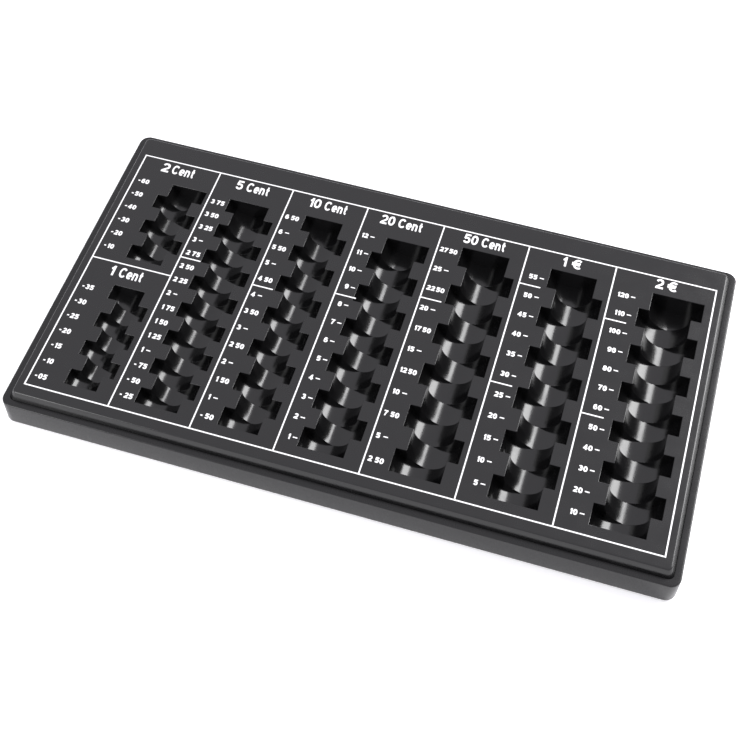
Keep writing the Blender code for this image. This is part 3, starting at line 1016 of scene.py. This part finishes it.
def printBars(name, bars):
    # Bars are (left, front, right, back). Crossing bars become one flat-topped solid.
    xs = sorted({bar[n] for bar in bars for n in (0, 2)})
    ys = sorted({bar[n] for bar in bars for n in (1, 3)})
    filled = {(i, j) for i in range(len(xs) - 1) for j in range(len(ys) - 1)
              if any(bar[0] <= xs[i] and xs[i + 1] <= bar[2] and bar[1] <= ys[j]
                     and ys[j + 1] <= bar[3] for bar in bars)}
    bm = bmesh.new()
    made = {}

    def corner(i, j, high):
        if (i, j, high) not in made:
            made[i, j, high] = bm.verts.new((printLeft + xs[i] * mm, printFront + ys[j] * mm,
                                             topLevel + high * inkThickness))
        return made[i, j, high]

    for i, j in filled:
        square = ((i, j), (i + 1, j), (i + 1, j + 1), (i, j + 1))
        beside = ((i, j - 1), (i + 1, j), (i, j + 1), (i - 1, j))
        for high in (0, 1):
            bm.faces.new([corner(*point, high) for point in square])
        for n in range(4):
            if beside[n] not in filled:
                a, b = square[n], square[(n + 1) % 4]
                bm.faces.new((corner(*a, 0), corner(*b, 0), corner(*b, 1), corner(*a, 1)))
    finishPiece(bm, name, ink, [])


def lineBars():
    half = frameLines["line"] / 2
    width, depth = frameLines["width"], frameLines["depth"]
    bars = [(x - half, -half, x + half, depth + half)
            for x in sorted({entry["left"] for entry in printing.values()} | {width})]
    bars += [(-half, y - half, width + half, y + half) for y in (0.0, depth)]
    firstDivider = printing["cent5"]["left"]
    bars.append((0.0, frameLines["middle"] - half, firstDivider, frameLines["middle"] + half))
    for entry in printing.values():
        for y in entry["ticks"]:
            bars.append((entry["left"], y - half, entry["left"] + frameLines["tick"], y + half))
    return bars


valueGlyphs, valueDashes = valuePlaces()
printBars("printed_lines", lineBars())
printBars("printed_dashes", valueDashes)
printText("printed_headings", headingPlaces(), lettering["headingWeight"])
printText("printed_values", valueGlyphs, lettering["valueWeight"])


studio = dict(
    floorSize=6.0,
    floorTone=0.92, floorGlow=0.25,
    skyTint=(0.985, 0.97, 1.03), skyLow=0.98, skyHigh=1.17,
    view=dict(target=Vector((-0.1, -23.0, 20.4)) * mm, azimuth=16.0, elevation=56.56,
              roll=0.97, distance=630 * mm, lens=63.71),
    # middle of each light, the point it faces, its two sides and its radiance
    lights={
        "keyLight": dict(place=(450, 305, 340), aim=(0, 0, 0), size=(350, 310), radiance=12.5),
        "fillLight": dict(place=(-420, -420, 260), aim=(-100, -100, 0), size=(300, 300), radiance=6.0),
    },
)


def makeFloor():
    half = studio["floorSize"] / 2
    mesh = bpy.data.meshes.new("floor")
    mesh.from_pydata([(-half, -half, 0), (half, -half, 0), (half, half, 0), (-half, half, 0)], [],
                     [(0, 1, 2, 3)])
    tone = studio["floorTone"]
    material, tree, shader = newMaterial("floorPaper", (tone, tone, tone), 0.9)
    shader.inputs["Emission Color"].default_value = (1.0, 1.0, 1.0, 1.0)
    shader.inputs["Emission Strength"].default_value = studio["floorGlow"]
    mesh.materials.append(material)
    addObject("floor", mesh)


def makeSky():
    world = bpy.data.worlds.new("studio")
    scene.world = world
    world.use_nodes = True
    tree = world.node_tree
    ground = tree.nodes["Background"]
    place = addNode(tree, 'ShaderNodeTexCoord')
    parts = addNode(tree, 'ShaderNodeSeparateXYZ', {"Vector": place.outputs["Generated"]})
    ground.inputs["Color"].default_value = (*studio["skyTint"], 1.0)
    glow = mixRange(tree, parts.outputs["Z"], 0.0, 1.0, studio["skyLow"], studio["skyHigh"])
    tree.links.new(glow, ground.inputs["Strength"])


def makeLights():
    for name, entry in studio["lights"].items():
        data = bpy.data.lights.new(name, 'AREA')
        data.shape = 'RECTANGLE'
        data.size, data.size_y = (side * mm for side in entry["size"])
        data.energy = entry["radiance"] * math.pi * data.size * data.size_y
        light = addObject(name, data)
        place, aim = Vector(entry["place"]) * mm, Vector(entry["aim"]) * mm
        light.visible_camera = False
        light.matrix_world = Matrix.LocRotScale(place, (place - aim).to_track_quat('Z', 'Y'), None)


def makeCamera():
    view = studio["view"]
    azimuth, elevation = math.radians(view["azimuth"]), math.radians(view["elevation"])
    out = Vector((math.sin(azimuth) * math.cos(elevation),
                  -math.cos(azimuth) * math.cos(elevation), math.sin(elevation)))
    camera = addObject("camera", bpy.data.cameras.new("camera"))
    level = out.to_track_quat('Z', 'Y').to_matrix()
    turn = Matrix.Rotation(math.radians(view["roll"]), 3, 'Z')
    camera.matrix_world = Matrix.Translation(view["target"] + out * view["distance"]) \
        @ (level @ turn).to_4x4()
    camera.data.lens = view["lens"]
    camera.data.sensor_width = 36.0
    scene.camera = camera


makeFloor()
makeSky()
makeLights()
makeCamera()
scene.view_settings.view_transform = 'Standard'
print("studio ready")
